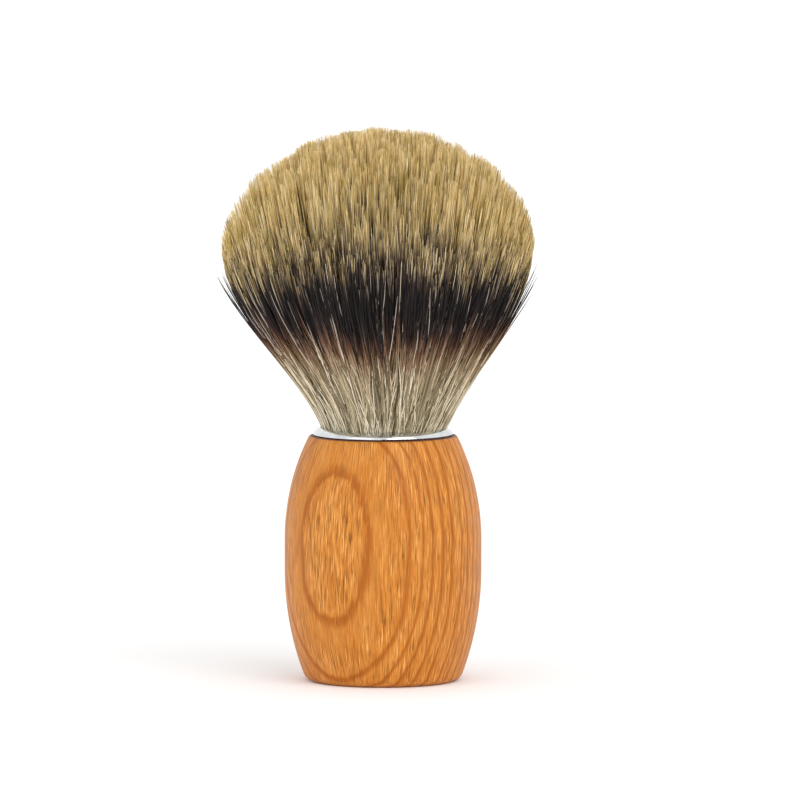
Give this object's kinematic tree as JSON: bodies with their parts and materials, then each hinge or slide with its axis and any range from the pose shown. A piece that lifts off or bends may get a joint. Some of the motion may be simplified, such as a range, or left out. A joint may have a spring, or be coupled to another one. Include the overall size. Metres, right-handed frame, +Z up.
{
  "type": "shaving brush",
  "caption": "Free-standing shaving brush: a turned wooden barrel handle with a bright metal collar and a domed tuft of three-band hair that works up lather.",
  "frame": {"origin": "centre of the underside of the foot, on the surface the brush stands on", "axes": "+Z up the turning axis towards the hair; the brush is round, so X and Y are only fixed by tuft_bend, which turns about Y"},
  "size_m": [0.0564, 0.0564, 0.1],
  "materials": {
    "oiled_ash": "satin",
    "bright_chrome": "polished",
    "cured_epoxy": "gloss",
    "plug_resin": "gloss",
    "waxed_twine": "matte",
    "brush_hair": "satin"
  },
  "bodies": {
    "handle": {"handle": "oiled_ash", "collar_ring": "bright_chrome", "socket_adhesive": "cured_epoxy", "knot_plug": "plug_resin", "binding_cord": "waxed_twine", "hair_root": "brush_hair"},
    "tuft": {"hair_tuft": "brush_hair"}
  },
  "joints": [
    {"name": "tuft_bend", "type": "hinge", "parent": "handle", "child": "tuft", "pos_m": [0, 0, 0.04575], "axis": [0, 1, 0], "range_deg": [-20, 20], "stiffness_Nm_per_rad": 0.15}
  ]
}
